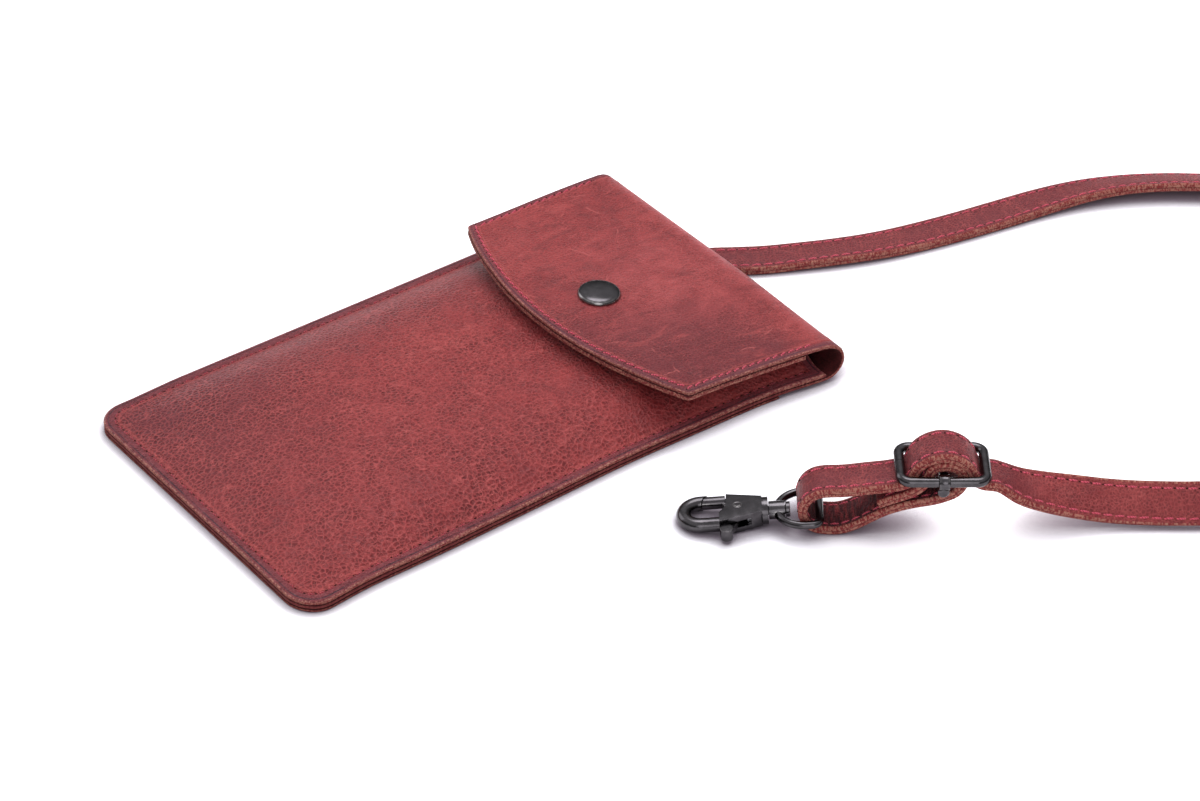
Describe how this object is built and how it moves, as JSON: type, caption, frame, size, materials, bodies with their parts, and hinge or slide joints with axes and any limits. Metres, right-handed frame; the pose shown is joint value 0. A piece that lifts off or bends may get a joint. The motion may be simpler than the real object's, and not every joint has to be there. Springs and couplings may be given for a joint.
{
  "type": "phone pouch",
  "caption": "Flat leather phone pouch with a snap flap and a long narrow crossbody strap with slider and trigger clasp, rolled up beside it.",
  "frame": {"origin": "centre of the pouch's back, on the face it lies on", "axes": "+Y along the pouch from its bottom end to the fold, +Z out of the front, +X across it with the flap at the top and the front towards the viewer"},
  "size_m": [0.2635, 0.4123, 0.0266],
  "materials": {
    "leather": "satin, pebbled, pull-up",
    "suede": "matte flesh side",
    "thread": "twisted thread",
    "gunmetal": "dark, polished, worn at the edges",
    "steel": "plain"
  },
  "bodies": {
    "pouch": {"back_pocket": "suede", "back_panel": "leather", "front_panel": "leather", "panel_stitches": "thread", "flap_fold": "leather", "snap_stud": "gunmetal", "snap_rivet": "steel", "ring_tab": "leather", "tab_stitches": "thread", "strap_upper": "leather", "strap_coil": "leather", "strap_lower": "leather", "strap_loop": "leather", "slider_frame": "gunmetal", "slider_bar": "gunmetal"},
    "flap": {"flap_panel": "leather", "flap_lining": "suede", "flap_stitches": "thread", "snap_cap": "gunmetal", "snap_socket": "gunmetal", "snap_spring": "steel"},
    "ring": {"tab_ring": "gunmetal"},
    "eye": {"clasp_eye": "gunmetal"},
    "clasp": {"clasp_hook": "gunmetal", "swivel_pin": "gunmetal", "trigger_pin": "steel", "trigger_spring": "steel"},
    "trigger": {"clasp_trigger": "gunmetal"}
  },
  "joints": [
    {"name": "flap_hinge", "type": "hinge", "parent": "pouch", "child": "flap", "pos_m": [0, 0.09, 0.0075], "axis": [-1, 0, 0], "range_deg": [0, 110], "deforming": ["flap_fold", "snap_spring"]},
    {"name": "ring_swing", "type": "hinge", "parent": "pouch", "child": "ring", "pos_m": [0.03, 0.09055, 0.0016], "axis": [1, 0, 0], "range_deg": [0, 20]},
    {"name": "eye_swing", "type": "hinge", "parent": "pouch", "child": "eye", "pos_m": [0.10267, 0.04255, 0.00501], "axis": [-0.7986, 0.6018, 0], "range_deg": [0, 25]},
    {"name": "clasp_swivel", "type": "hinge", "parent": "eye", "child": "clasp", "pos_m": [0.09514, 0.03256, 0.00401], "axis": [0.5999, 0.7961, 0.0795], "continuous": true},
    {"name": "trigger_turn", "type": "hinge", "parent": "clasp", "child": "trigger", "pos_m": [0.0895, 0.02508, 0.00326], "axis": [-0.0479, -0.0635, 0.9968], "range_deg": [0, 25], "stiffness_Nm_per_rad": 0.02, "springref_deg": -11.46, "deforming": ["trigger_spring"]}
  ]
}
